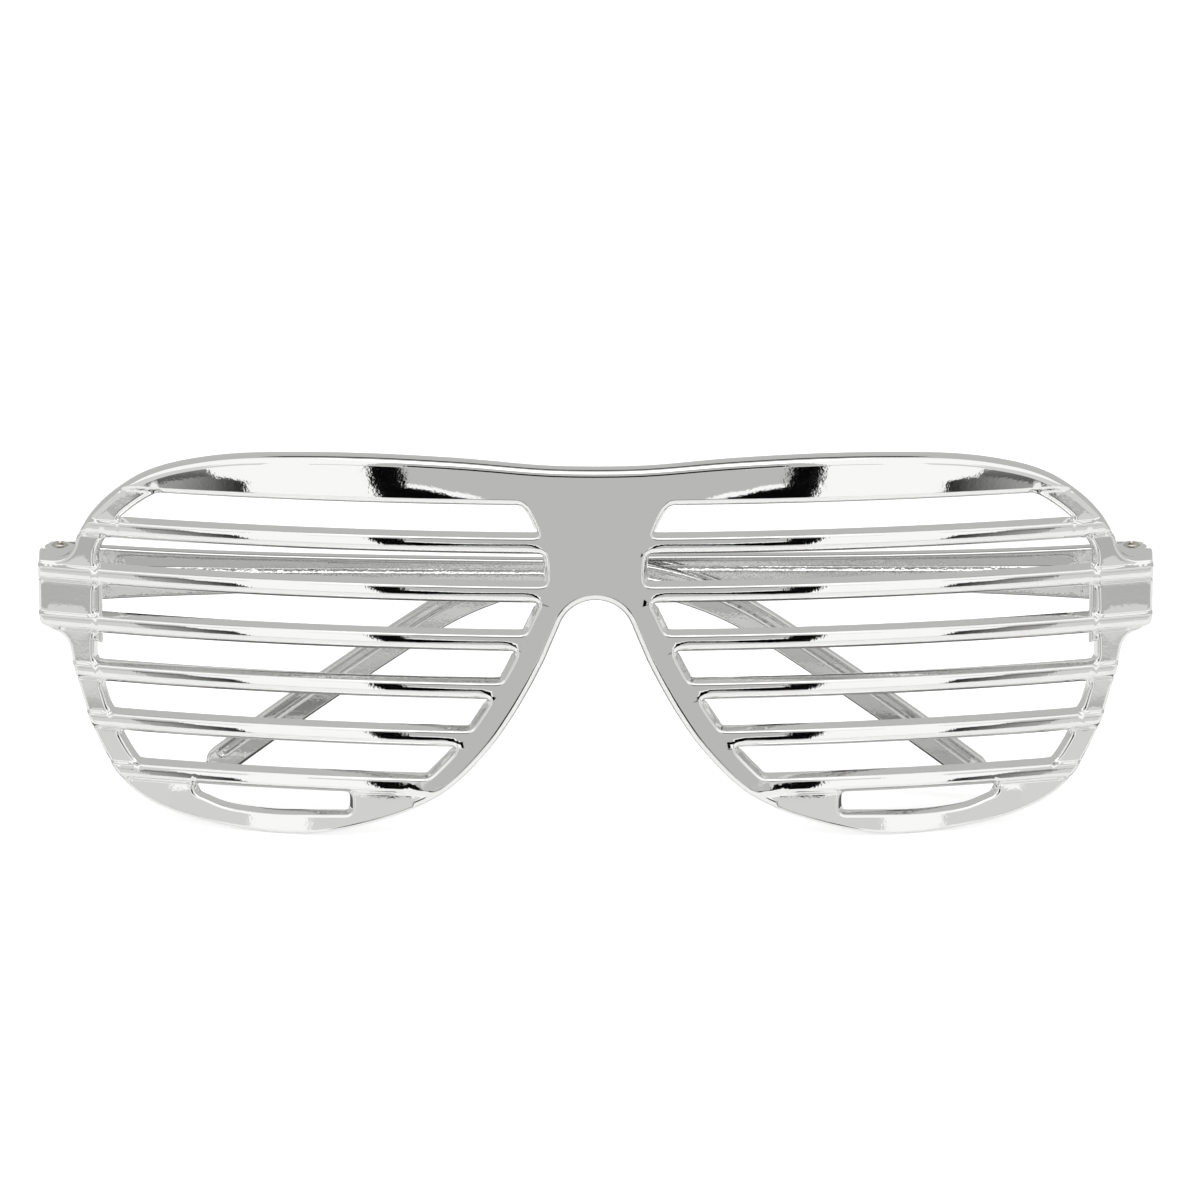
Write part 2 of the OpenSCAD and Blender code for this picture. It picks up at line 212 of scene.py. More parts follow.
def slot_loop(top, corner=0.6):
    """Plan of an open row on the +X side: two level edges, its ends cut by the rim and the bridge's side."""
    levels = np.linspace(top - row_h, top, 12)
    outer = np.stack([x_at(rim_inner, levels), levels], axis=1)
    inner = np.stack([x_at(bridge_side, levels), levels], axis=1)
    around = np.vstack([outer, inner[::-1]])
    edges = [np.linspace(around[i - 1], around[i], 40, endpoint=False) for i in range(len(around))]
    return rounded(np.vstack(edges), corner)


def crescent_loop():
    """Plan of the crescent on the +X side: level above, bowed below, blunt towards the nose."""
    x, z, l, h = crescent_x, panel_top, crescent_l / 2, crescent_h
    corners = [(x - l, z), (x + l, z), (x + l * 0.97, z - h * 0.4), (x + l * 0.6, z - h * 0.84),
               (x + l * 0.05, z - h), (x - l, z - h * 0.86)]
    return softened(corners, [1.0, 0.65, 0.6, 1.6, 3, 1.1], 12)


def dip(z):
    """How far the plate's lower part curves forward: a parabola that starts at lower_start."""
    return lower_bow * np.minimum(z - lower_start, 0) ** 2


def front_face(x, z):
    """Depth of the front: the wrap's arc, a brow that swells forward, slats with a slight crown, and a rim
    that is sunk between the slats' ribs. Swell and crown are -k (z - crest)^2."""
    ax = np.abs(x)
    sunk, crown = np.zeros_like(ax), np.zeros_like(ax)
    for top, (upper_x, lower_x) in zip(row_tops, slot_ends):
        low, slat_low = top - row_h, top - row_pitch
        end = lower_x + (upper_x - lower_x) * np.clip((z - low) / row_h, 0, 1)
        open_row = ramp(-z, -top - lip_low + step_in, -top + step_out)
        open_row = open_row * ramp(z, low - lip_up, low + step_deep)
        sunk = sunk + open_row * ramp(ax, end - end_in, end + end_out)
        slat = ramp(-z, -low - step_out, -low + step_in) * ramp(z, slat_low - step_in, slat_low + step_out)
        crown = crown + slat * slat_bow * (z - (slat_low + slat_crest)) ** 2
    panel_lip = ramp(-z, -panel_top - lip_low + step_in, -panel_top + step_out)
    sunk = sunk + panel_sunk * panel_lip * ramp(ax, *panel_x)
    beside_bridge = ramp(ax, x_at(bridge_side, z) + bow_start, x_at(bridge_side, z) + bow_full)
    swell = np.maximum(brow_swell - brow_swell * ((z - brow_crest) / swell_h) ** 2, 0) * (z > row_top - 1)
    swell = swell * ramp(ax, swell_start, swell_full) * (1 - ramp(ax, swell_fade, swell_end))
    return wrap_y - dip(z) - np.sqrt((wrap_r + swell - crown * beside_bridge - rib_h * sunk) ** 2 - ax ** 2)


def back_face(x, z):
    """Depth of the plate's back: the arc of the wrap less the plate."""
    return wrap_y - dip(z) - np.sqrt(inner_r ** 2 - x ** 2)


half_slots = [turned(slot_loop(top), -1) for top in row_tops] + [turned(crescent_loop(), -1)]
slots = half_slots + [q[::-1] * [-1, 1] for q in half_slots]
loops = [spaced(q, front_face, longest=1.0) for q in [outline] + slots]


def sides(loop):
    """Unit vectors that point from the loop to its right, where the material ends."""
    way = np.roll(loop, -1, axis=0) - np.roll(loop, 1, axis=0)
    way /= np.linalg.norm(way, axis=1)[:, None]
    return np.stack([way[:, 1], -way[:, 0]], axis=1)


def room(loop, way):
    """How far each point may move before its neighbours meet: the least, over all points of the loop, of
    0.7 of their radius plus 0.6 of the distance to them, where the loop turns to the side it moves to
    (left for way 1, right for -1)."""
    step = np.roll(loop, -1, axis=0) - loop
    size = np.hypot(*step.T)
    angle = np.arctan2(step[:, 1], step[:, 0])
    turn = way * ((angle - np.roll(angle, 1) + pi) % (2 * pi) - pi)
    radius = (size + np.roll(size, 1)) / 2 / np.maximum(turn, 1e-3)
    apart = np.hypot(*(loop[:, None] - loop[None]).transpose(2, 0, 1))
    return np.min(0.7 * radius + 0.6 * apart, axis=1)


def within(points, loops):
    """True for each point that a ray to the right leaves through an odd number of the loops' edges."""
    a = np.vstack(loops)
    b = np.vstack([np.roll(q, -1, axis=0) for q in loops])
    x, y = points[:, :1], points[:, 1:]
    spans = (a[:, 1] > y) != (b[:, 1] > y)
    rise = np.where(b[:, 1] == a[:, 1], 1, b[:, 1] - a[:, 1])
    cross = (b[:, 0] - a[:, 0]) * (y - a[:, 1]) / rise + a[:, 0]
    return (spans & (x < cross)).sum(axis=1) % 2 == 1


def clear_of(points, loops, gap):
    """Those of the points that lie inside the material and at least a gap from every loop's points."""
    edge = np.vstack(loops)
    keep = []
    for part in np.array_split(points, 1 + len(points) // 400):
        near = np.min(np.hypot(part[:, :1] - edge[:, 0], part[:, 1:] - edge[:, 1]), axis=1)
        keep.append((near > gap) & within(part, loops))
    return points[np.concatenate(keep)]


def filled(loops, spots):
    """Triangles that fill the loops and use the spots too, as numbers into all loops' points and then the
    spots."""
    plan = np.vstack(loops + [spots])
    starts = np.cumsum([0] + [len(q) for q in loops])
    edges = np.vstack([np.stack([np.arange(s, e), np.concatenate([np.arange(s + 1, e), [s]])], axis=1)
                       for s, e in zip(starts[:-1], starts[1:])])
    corners = [Vector(p) for p in plan.tolist()]
    points, _, faces, origin, _, _ = delaunay_2d_cdt(corners, edges.tolist(), [], 1, 1e-9)
    back = np.array([o[0] if o else -1 for o in origin])
    tris = back[np.array([f for f in faces if len(f) == 3])]
    assert (tris >= 0).all() and len(points) == len(plan), "two loops of the plate cross"
    middles = plan[tris].mean(axis=1)
    return tris[np.concatenate([within(m, loops) for m in np.array_split(middles, 1 + len(middles) // 400)])]


def edge_rows(loop, front, back, front_r, back_r, lean, rounds):
    """Rows of plan points and depths over a loop's edge, from the front face to the back face: a quarter
    round of front_r, a wall that leans outward by lean for each mm of depth, and a round of back_r. Radii
    stay within 0.9 of the room beside the loop and 0.45 of the plate."""
    out = sides(loop)
    thick = back(*loop.T) - front(*loop.T)
    most = np.minimum(0.9 * room(loop, 1), 0.45 * thick)
    front_r, back_r = np.minimum(front_r, most), np.minimum(back_r, most)
    lean = np.minimum(lean, room(loop, -1) / thick)
    rows = []
    for a in np.linspace(0, pi / 2, rounds + 1):
        plan = loop - out * (front_r * (1 - sin(a)))[:, None]
        rows.append((plan, front(*plan.T) + front_r * (1 - cos(a))))
    wall_top = rows[-1][1]
    wall = back(*loop.T) - back_r - wall_top
    for share in (0.5, 1.0):
        rows.append((loop + out * (lean * wall * share)[:, None], wall_top + wall * share))
    foot = rows[-1][0]
    for a in (pi / 4, pi / 2):
        plan = foot - out * (back_r * (1 - cos(a)))[:, None]
        rows.append((plan, back(*plan.T) - back_r * (1 - sin(a))))
    return rows


def ring_quads(ids):
    """Four-cornered faces between the rows and columns of a grid of point numbers whose rows close."""
    after = np.roll(ids, -1, axis=0)
    return np.stack([ids[:, :-1], ids[:, 1:], after[:, 1:], after[:, :-1]], axis=-1).reshape(-1, 4)


def face_normals(face, plan, way, h=0.01):
    """Normals of a face in plan and depth, away from the plate: its slopes, from points h to either side,
    and -1; turned round for way -1."""
    a, b = plan.T
    along, up = (face(a + h, b) - face(a - h, b)) / (2 * h), (face(a, b + h) - face(a, b - h)) / (2 * h)
    return way * np.column_stack([along, up, -np.ones(len(plan))])


def moulded(loops, front, back, front_r, back_r, lean, spots, axes, origin=(0, 0, 0), gap=0.3, rounds=5):
    """Closed shell of a moulded plate, drawn in plan. Each loop has the material on its left. The two
    faces are depth functions of the plan, filled with triangles between the loops and through the spots
    that lie a gap from them, and joined along every loop by its edge rows. axes and origin set the
    plan's two directions and its depth in space. Returns points, faces and the true normal at each point."""
    axes = np.asarray(axes, float)
    grids, normals, front_rims, back_rims = [], [], [], []
    for loop, *profile in zip(loops, front_r, back_r, lean):
        edge = edge_rows(loop, front, back, *profile, rounds)
        grid = np.stack([np.column_stack(row) for row in edge], axis=1) @ axes.T + origin
        across = np.roll(grid, -1, axis=0) - np.roll(grid, 1, axis=0)
        normal = np.cross(np.gradient(grid, axis=1), across)
        normal[:, 0] = face_normals(front, edge[0][0], 1) @ axes.T
        normal[:, -1] = face_normals(back, edge[-1][0], -1) @ axes.T
        grids.append(grid)
        normals.append(normal.reshape(-1, 3))
        front_rims.append(edge[0][0])
        back_rims.append(edge[-1][0])
    deep = grids[0].shape[1]
    firsts = np.cumsum([0] + [len(g) * deep for g in grids])
    ids = [np.arange(len(g) * deep).reshape(-1, deep) + first for g, first in zip(grids, firsts)]
    points, faces, first = [g.reshape(-1, 3) for g in grids], [], firsts[-1]
    for face, rims, column, way in ((front, front_rims, 0, 1), (back, back_rims, -1, -1)):
        spots = clear_of(spots, rims, gap)
        corners = np.concatenate([q[:, column] for q in ids] + [first + np.arange(len(spots))])
        faces.append(corners[filled(rims, spots)][:, ::way])
        points.append(np.column_stack([spots, face(*spots.T)]) @ axes.T + origin)
        normals.append(face_normals(face, spots, way) @ axes.T)
        first += len(spots)
    faces.append(np.vstack([ring_quads(q) for q in ids]))
    normal = np.vstack(normals)
    normal /= np.maximum(np.linalg.norm(normal, axis=1)[:, None], 1e-12)
    return np.vstack(points), faces, normal


def piece_of(name, shells):
    """One mesh object from several shells, in metres, with each shell's own normals."""
    points = np.vstack([s[0] for s in shells]) * 0.001
    normal = np.vstack([s[2] for s in shells])
    starts = np.cumsum([0] + [len(s[0]) for s in shells])
    faces = [f + k for s, k in zip(shells, starts) for f in s[1]]
    sizes = np.concatenate([np.full(len(f), f.shape[1]) for f in faces])
    corners = np.concatenate([f.ravel() for f in faces])
    mesh = bpy.data.meshes.new(name)
    mesh.vertices.add(len(points))
    mesh.vertices.foreach_set("co", points.ravel())
    mesh.loops.add(len(corners))
    mesh.loops.foreach_set("vertex_index", corners)
    mesh.polygons.add(len(sizes))
    mesh.polygons.foreach_set("loop_start", np.concatenate([[0], np.cumsum(sizes)[:-1]]))
    mesh.update(calc_edges=True)
    mesh.validate()
    mesh.shade_smooth()
    mesh.normals_split_custom_set_from_vertices(normal.tolist())
    obj = bpy.data.objects.new(name, mesh)
    bpy.context.scene.collection.objects.link(obj)
    return obj


def eased(values, reach=4):
    """Moving mean round a loop, over the reach to both sides."""
    return np.mean([np.roll(values, k) for k in range(-reach, reach + 1)], axis=0)


def outline_r(loop):
    """Edge radius along the outline: 0.5 mm, 1 mm round the nose, and up to 1.2 mm along the brow."""
    nose = (np.abs(loop[:, 0]) < 24) & (loop[:, 1] < 6)
    return np.where(nose, 1.0, 0.5 + 0.7 * ramp(loop[:, 1], 11, 17))


def row_r(loop):
    """Edge radius along a row: the lips' radii where the edge is level. At the row's ends it is 0.7 mm by
    the rim and 0.45 mm by the nose."""
    up = sides(loop)[:, 1]
    end = np.where(np.abs(loop[:, 0]) > 45, 0.7, 0.45)
    lips = (lip_low - end) * ramp(-up, 0.5, 0.95) + (lip_up - end) * ramp(up, 0.5, 0.95)
    return eased(end + lips)


edge_r = [outline_r(loops[0])] + [row_r(q) for q in loops[1:]]
leans = [0.0] + [draft + (end_draft - draft) * ramp(np.abs(sides(q)[:, 0]), 0.3, 0.9) for q in loops[1:]]

# The face's inner points: a loose grid, shifted by a sine so that its rows don't line up with an edge, and
# close rows of points along each step of the sunk rim.
grid_step, rib_step, spot_gap, plate_back_r = 1.6, 0.7, 0.22, 0.25
grid_x, grid_z = np.meshgrid(np.arange(-76, 76, grid_step), np.arange(-28, 25, grid_step))
grid_x, grid_z = grid_x.ravel() + 0.4 * np.sin(grid_z.ravel() * 7), grid_z.ravel()
loose = np.ones(len(grid_x), bool)
rib_spots = []
for top, (upper_x, lower_x) in zip(row_tops + [panel_top], slot_ends + [(22, 22)]):
    low = top - row_h
    levels = top + np.linspace(-0.1, lip_low - step_in, 8)
    if top != panel_top:
        levels = np.concatenate([levels, low + np.linspace(-lip_up, step_deep, 7)])
    rib_x = np.arange(min(upper_x, lower_x) - 1.5, 76, rib_step)
    near_top = (grid_z > top - 0.5) & (grid_z < top + 1.3)
    near_low = (grid_z > low - 0.8) & (grid_z < low + 0.5)
    loose &= ~((np.abs(grid_x) > rib_x[0] - 0.5) & (near_top | near_low))
    x, z = np.meshgrid(rib_x, levels)
    rib_spots += [np.stack([way * x.ravel(), z.ravel()], axis=1) for way in (-1, 1)]
all_spots = np.vstack(rib_spots + [np.stack([grid_x, grid_z], axis=1)[loose]])
face_spots = np.unique(np.round(all_spots, 3), axis=0)

ALONG = [[1, 0, 0], [0, 0, 1], [0, 1, 0]]        # plan is x and z, depth runs back along y
DOWN = [[1, 0, 0], [0, 1, 0], [0, 0, -1]]        # plan is x and y, depth runs down
no_spots = np.zeros((0, 2))
plate = moulded(loops, front_face, back_face, edge_r, [plate_back_r] * len(loops), leans, face_spots, ALONG,
                gap=spot_gap)

# The lug starts inside the plate and turns back. At its end are the hinge's ears, above and below the
# temple's knuckle, with bores for the screw.
lug_start, lug_sunk, lap_front, lap_back = rim_x * 0.936, 1.0, 0.9, 0.4
foot_low, foot_rise = 0.3, 0.2           # the lug's underside: above its lower edge, and its rise per mm
shy, plan_soft = 0.01, 0.25              # gap to the CAD box, and the reach that rounds a plan's corners
hinge_x, hinge_y, hinge_low, hinge_top = 72.7, 25.5, -0.5, 7.5
ear_r, ear_h, ear_web = 2.1, 2.0, 1.25
low_bore_r, high_bore_r, knuckle_bore_r, bore_round = 0.82, 0.88, 0.86, 0.05


def bore(centre, r):
    """Clockwise circle, which cuts a round hole when it is one of a plate's loops."""
    return np.array(centre) + circle(r, np.linspace(2 * pi, 0, 40, endpoint=False))


def flat(depth):
    """Flat face, at one depth all over. Where depth runs down, it is the height with its sign turned."""
    return lambda x, y: depth + 0 * x


def lug_foot(x, y):
    """Depth of the lug's underside, which rises inwards by foot_rise for each mm."""
    return (half_w - np.abs(x)) * foot_rise - (lug_low + foot_low)


def lug_shells(way):
    """A lug and its two ears on one side. The lug's plan turns back from the plate and thins to the hinge;
    an ear's plan is a round of ear_r, carried on a web."""
    back_x, bend = half_w - lug_wall, lug_wall / 2
    start_y, end_y = (wrap_y - sqrt(inner_r ** 2 - x ** 2) - lug_sunk for x in (lug_start, half_w))
    corners = [(lug_start, start_y - lap_front), (lug_front - shy, end_y - lap_front),
               (half_w - shy, lug_back), (back_x, lug_back), (back_x, start_y + bend),
               (lug_start, start_y + lap_back)]
    lug_plan = softened(corners, [0.4, 1.0, 0.5, 0.5, bend * 0.9, 0.4], 8)
    web = [(hinge_x - ear_r * 0.96, lug_back - 1), (hinge_x + ear_web, lug_back - 1)]
    ear = circle(ear_r, np.radians(np.linspace(-53.5, 196.3, 40))) + [hinge_x, hinge_y]
    ear_plan = np.vstack([web, ear])
    lug_faces = (flat(-(lug_top - shy)), lug_foot, 0.5, 0.45)
    high_ear = (flat(-hinge_top), flat(-(hinge_top - ear_h)), 0.25, 0.1)
    low_ear = (flat(-(hinge_low + ear_h)), flat(-hinge_low), 0.1, 0.25)
    made = []
    for plan, bore_r, (top, foot, top_r, low_r) in ((lug_plan, 0, lug_faces),
                                                    (ear_plan, high_bore_r, high_ear),
                                                    (ear_plan, low_bore_r, low_ear)):
        loop = spaced(rounded(turned(plan * [way, 1]), plan_soft), top, longest=1.0)
        holes = [bore((way * hinge_x, hinge_y), bore_r)] if bore_r else []
        made.append(moulded([loop] + holes, top, foot, [top_r, bore_round], [low_r, bore_round], [0.0, 0.0],
                            no_spots, DOWN))
    return made


def linear(code):
    """A colour written as a six-digit sRGB code, as linear RGBA."""
    c = np.array([int(code[i:i + 2], 16) for i in (0, 2, 4)]) / 255
    return (*np.where(c <= 0.04045, c / 12.92, ((c + 0.055) / 1.055) ** 2.4).tolist(), 1.0)


def add_node(tree, kind, settings=None, links=None):
    """Adds a shader node, sets its properties or inputs, and links inputs to other nodes' outputs. Inputs
    go by name or, where several share a name, by number."""
    node = tree.nodes.new(kind)
    for key, value in (settings or {}).items():
        if isinstance(key, str) and hasattr(node, key):
            setattr(node, key, value)
        else:
            node.inputs[key].default_value = value
    for key, out in (links or {}).items():
        tree.links.new(out, node.inputs[key])
    return node


def surface(name, code, metallic, roughness):
    """New material with its colour, metallic and roughness; also its node tree and its shader."""
    mat = bpy.data.materials.new(name)
    mat.use_nodes = True
    shader = mat.node_tree.nodes["Principled BSDF"]
    shader.inputs["Base Color"].default_value = linear(code)
    shader.inputs["Metallic"].default_value = metallic
    shader.inputs["Roughness"].default_value = roughness
    return mat, mat.node_tree, shader


def bright_metal(name, code, ripple_h, grain_h, inside):
    """Bright chrome plating on a moulding: a mirror that follows the plastic's slight ripple, about 4 mm
    long and ripple_h high, and shows fine grain, 0.5 mm wide and grain_h high, where the tool was polished
    by hand (heights in mm). The grain is drawn coarser than it is, so that it shows. The colour is lighter
    than bulk chrome, as the photographed highlights are almost white. Faces that look back are duller by
    inside, because less metal reaches the plastic there."""
    ripples_per_m, grains_per_m, polish = 260.0, 2000.0, 0.03
    mat, tree, shader = surface(name, code, 1.0, polish)
    coords = add_node(tree, "ShaderNodeTexCoord").outputs
    ripple = add_node(tree, "ShaderNodeTexNoise", {"Scale": ripples_per_m, "Detail": 2.0, "Roughness": 0.5},
                      {"Vector": coords["Object"]})
    grain = add_node(tree, "ShaderNodeTexNoise", {"Scale": grains_per_m, "Detail": 2.0, "Roughness": 0.6},
                     {"Vector": coords["Object"]})
    soft = add_node(tree, "ShaderNodeBump", {"Strength": 1.0, "Distance": ripple_h * 0.001},
                    {"Height": ripple.outputs["Fac"]})
    fine = add_node(tree, "ShaderNodeBump", {"Strength": 1.0, "Distance": grain_h * 0.001},
                    {"Height": grain.outputs["Fac"], "Normal": soft.outputs["Normal"]})
    tree.links.new(fine.outputs["Normal"], shader.inputs["Normal"])
    facing = add_node(tree, "ShaderNodeSeparateXYZ", {}, {0: coords["Normal"]})
    dull = add_node(tree, "ShaderNodeMapRange",
                    {"From Min": 0.5, "From Max": 0.9, "To Min": polish, "To Max": polish + inside},
                    {"Value": facing.outputs["Y"]})
    tree.links.new(dull.outputs["Result"], shader.inputs["Roughness"])
    return mat


front = piece_of("front_moulding", [plate] + lug_shells(1) + lug_shells(-1))
front.data.materials.append(bright_metal("front_metal", "F7F7F6", 0.006, 0.003, 0.25))
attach(front, "front")
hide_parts("front_frame")


# Temples
# Each temple is one ABS moulding, plated like the front: a tall root at the barrel hinge, an arm that
# tapers, and a hook that turns down behind the ear. A long groove is sunk in the upper half of its inner
# face. Its knuckle turns on the screw between the front's two ears.
temple_l, bend_r, bend_a = 72.0, 44.0, radians(33)      # straight arm, then its bend
hook_l, hook_a, hook_h = 36.4, radians(4), 4.05         # the hook bends on by hook_a
temple_t, tip_t, thin_start, thin_l = 2.7, 2.17, 36.0, 90.0
taper_l = 26.0                           # length over which the extra height of the root falls to 1/e
root_start, skin_l, root_lap = 2.4, 4.0, 3.0  # where the arm begins, and where skin and knuckle block end
groove_d, groove_start, groove_mid, groove_half = 0.6, 8.7, 0.41, 0.35  # the last two: shares of half height
bank_w, bank_more = 0.3, 0.5             # width of the groove's upper bank, and what the lower one adds
bank_out, block_in, block_front = 0.05, 0.1, 0.02  # small steps from groove, outer face and block's plan
sink_d, sink_s, sink_w, sink_l, sink_h = 0.3, 6.0, 0.4, 1.5, 1.7        # sink mark: depth, place and size
stack_a = radians(1.2)                   # each temple's turn, by which the folded ones clear each other
swing_gap, hinge_h, knuckle_r = 0.15, 8.0, 1.8
butt = swing_gap - 2.0                   # the root's end, before the hinge's axis
mid_z = hinge_low + hinge_h / 2
bend_l = bend_r * bend_a
temple_end = temple_l + bend_l + hook_l
groove_end = temple_end - hook_h * 0.8


def centre_line(s):
    """Centre line of a temple at distances s from the hinge axis: straight, an arc, then a slower arc; and
    the angle by which it falls."""
    s = np.asarray(s, float)
    a1 = np.clip((s - temple_l) / bend_r, 0, bend_a)
    q = np.maximum(s - temple_l - bend_l, 0)
    a2 = bend_a + hook_a * q / hook_l
    m = (bend_a + a2) / 2
    u = np.minimum(s, temple_l) + bend_r * np.sin(a1) + q * np.cos(m)
    z = mid_z - bend_r * (1 - np.cos(a1)) - q * np.sin(m)
    return u, z, np.where(q > 0, a2, a1)


def half_height(s):
    """Half the height of a temple: an exponential taper from the hinge's height to the hook's."""
    return hook_h / 2 + (hinge_h - hook_h) / 2 * np.exp(-np.maximum(s, 0) / taper_l)


def beside(s, share):
    """Points a share of the half height above the centre line."""
    u, z, a = centre_line(s)
    return np.stack([u + share * half_height(s) * np.sin(a), z + share * half_height(s) * np.cos(a)], axis=1)


line_s = np.linspace(-3, temple_end + 3, 1200)
line_u, line_z, line_a = centre_line(line_s)


def along_temple(u, z):
    """Distance along the centre line and offset above it of plan points, by the nearest of many points on
    it."""
    p = np.stack([np.ravel(u), np.ravel(z)], axis=1)
    near = np.concatenate([np.argmin((q[:, :1] - line_u) ** 2 + (q[:, 1:] - line_z) ** 2, axis=1)
                           for q in np.array_split(p, 1 + len(p) // 500)])
    du, dz = p[:, 0] - line_u[near], p[:, 1] - line_z[near]
    s = line_s[near] + du * np.cos(line_a[near]) - dz * np.sin(line_a[near])
    w = du * np.sin(line_a[near]) + dz * np.cos(line_a[near])
    return s.reshape(np.shape(u)), w.reshape(np.shape(u))


def inner_side(u, z):
    """Depth of the inner face: flat, with a round-ended groove whose lower bank is wide and soft, and a
    shallow sink mark, sink_d exp(-r^2), over the thick root."""
    s, w = along_temple(np.abs(u), z)
    h = half_height(s)
    past = np.maximum(groove_start - s, 0) + np.maximum(s - groove_end, 0)
    off = w - groove_mid * h
    away = np.hypot(past, off) - groove_half * h
    bank = bank_w + bank_more * ramp(-off, -0.3 * h, 0.3 * h)
    sink = sink_d * np.exp(-((s - sink_s) / sink_l) ** 2 - ((w - sink_w) / sink_h) ** 2)
    return groove_d * (1 - ramp(away, -bank, bank_out)) + sink


def outer_side(u, z):
    """Depth of the outer face: even to the arm's middle, then thinner towards the tip."""
    return temple_t - (temple_t - tip_t) * np.clip((np.abs(u) - thin_start) / thin_l, 0, 1) + 0 * z


def temple_shells(way):
    """The arm, the skin outside the ears, and the knuckle with its block, for the side that way gives. The
    knuckle's plan, from above, is a half round of knuckle_r that joins the block behind it."""
    s = np.linspace(root_start, temple_end - hook_h / 2, 260)
    tip_u, tip_z, tip_a = centre_line(s[-1])
    tip = circle(half_height(s[-1]), np.linspace(pi / 2, -pi / 2, 26)[1:-1] - tip_a) + [tip_u, tip_z]
    arm = np.vstack([beside(s, 1), tip, beside(s[::-1], -1)])
    skin = softened([(butt, hinge_low), (skin_l, hinge_low), (skin_l, hinge_top), (butt, hinge_top)],
                    [0.3] * 4, 6)
    block_back = temple_t - block_in
    knuckle = np.vstack([[(butt, block_back)], circle(knuckle_r, np.linspace(pi, 2 * pi, 24)),
                         [(root_lap, block_front), (root_lap, block_back)]])
    pocket = ear_h + swing_gap
    s_grid, share = np.meshgrid(np.arange(3, temple_end, 0.5), np.linspace(-0.95, 0.95, 31))
    arm_spots = beside(s_grid.ravel(), share.ravel()) * [way, 1]
    c, n = cos(-stack_a), sin(-stack_a)
    spin = np.array([[c, -n, 0], [n, c, 0], [0, 0, 1]])
    home = (-way * hinge_x, hinge_y, 0)
    made = []
    for plan, holes, face, rear, front_r, back_r, spots, axes in (
            (arm, [], inner_side, outer_side, 0.45, 0.45, arm_spots, ALONG),
            (skin, [], flat(ear_r + swing_gap), flat(temple_t - shy), 0.1, 0.4, no_spots, ALONG),
            (knuckle, [bore((0, 0), knuckle_bore_r)], flat(-(hinge_top - pocket)),
             flat(-(hinge_low + pocket)), 0.1, 0.1, no_spots, DOWN)):
        loop = spaced(rounded(turned(plan * [way, 1]), plan_soft), face, longest=0.9)
        made.append(moulded([loop] + holes, face, rear, [front_r, bore_round], [back_r, bore_round],
                            [0.0, 0.0], spots, spin @ np.array(axes), home, gap=0.15))
    return made


def temple_metal(name):
    """The same plating on a temple, which is moulded more loosely. On the inner side its root puddles in
    waves about 1.5 mm long, and the groove's lower bank, dressed by hand, chatters every 0.6 mm."""
    root_start_m, root_full_m = 0.0635, 0.0665
    bank_z_m, bank_half_m, bank_fade_m = 0.0038, 0.0003, 0.0006
    mat = bright_metal(name, "E8E8E7", 0.02, 0.012, 0)
    tree = mat.node_tree
    shader = tree.nodes["Principled BSDF"]
    coords = add_node(tree, "ShaderNodeTexCoord").outputs
    place = add_node(tree, "ShaderNodeSeparateXYZ", {}, {"Vector": coords["Object"]}).outputs
    facing = add_node(tree, "ShaderNodeSeparateXYZ", {}, {"Vector": coords["Normal"]}).outputs
    inner = add_node(tree, "ShaderNodeMapRange", {"From Min": -0.1, "From Max": -0.3}, {"Value": facing["Y"]})
    out = add_node(tree, "ShaderNodeMath", {"operation": "ABSOLUTE"}, {0: place["X"]})
    root = add_node(tree, "ShaderNodeMapRange", {"From Min": root_start_m, "From Max": root_full_m},
                    {"Value": out.outputs[0]})
    over = add_node(tree, "ShaderNodeMath", {"operation": "SUBTRACT", 1: bank_z_m}, {0: place["Z"]})
    off = add_node(tree, "ShaderNodeMath", {"operation": "ABSOLUTE"}, {0: over.outputs[0]})
    bank = add_node(tree, "ShaderNodeMapRange",
                    {"From Min": bank_half_m, "From Max": bank_fade_m, "To Min": 1.0, "To Max": 0.0},
                    {"Value": off.outputs[0]})
    normal = shader.inputs["Normal"].links[0].from_socket
    for part, waves_per_m, height in ((root, 650.0, 0.2), (bank, 1700.0, 0.12)):
        here = add_node(tree, "ShaderNodeMath", {"operation": "MULTIPLY"},
                        {0: part.outputs["Result"], 1: inner.outputs["Result"]})
        wave = add_node(tree, "ShaderNodeTexNoise", {"Scale": waves_per_m, "Detail": 2.0},
                        {"Vector": coords["Object"]})
        bump = add_node(tree, "ShaderNodeBump", {"Distance": height * 0.001},
                        {"Height": wave.outputs["Fac"], "Strength": here.outputs[0], "Normal": normal})
        normal = bump.outputs["Normal"]
    tree.links.new(normal, shader.inputs["Normal"])
    return mat


for way, side in ((1, "right"), (-1, "left")):
    temple = piece_of(side + "_temple_moulding", temple_shells(way))
    temple.data.materials.append(temple_metal(side + "_temple_metal"))
    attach(temple, "temple_" + side)
    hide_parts(side + "_temple")


# Hinge screws
# A small machine screw in nickel-plated steel, with a domed head and a cross slot. It drops from above
# through the upper ear and the knuckle, and its thread holds in the lower ear.
screw_r, screw_short = 0.8, 0.3          # the shank ends this far above the lower ear's underside
head_r, head_h = 1.2, 0.55
head_trim, head_lift, shank_up = 0.02, 0.01, 0.05       # head's rim, its seat and the shank's top in it
slot_w, slot_half, slot_d, slot_soft = 0.3, head_r * 0.65, 0.3, 0.05
dome_r = (head_r ** 2 + head_h ** 2) / (2 * head_h)


def slot_cut(across, along):
    """One arm of the cross slot: 1 inside its width and length, falling smoothly to 0 past them."""
    wide = ramp(np.abs(across), slot_w / 2 - slot_soft, slot_w / 2 + slot_soft)
    long = ramp(np.abs(along), slot_half - 2 * slot_soft, slot_half + slot_soft)
    return (1 - wide) * (1 - long)


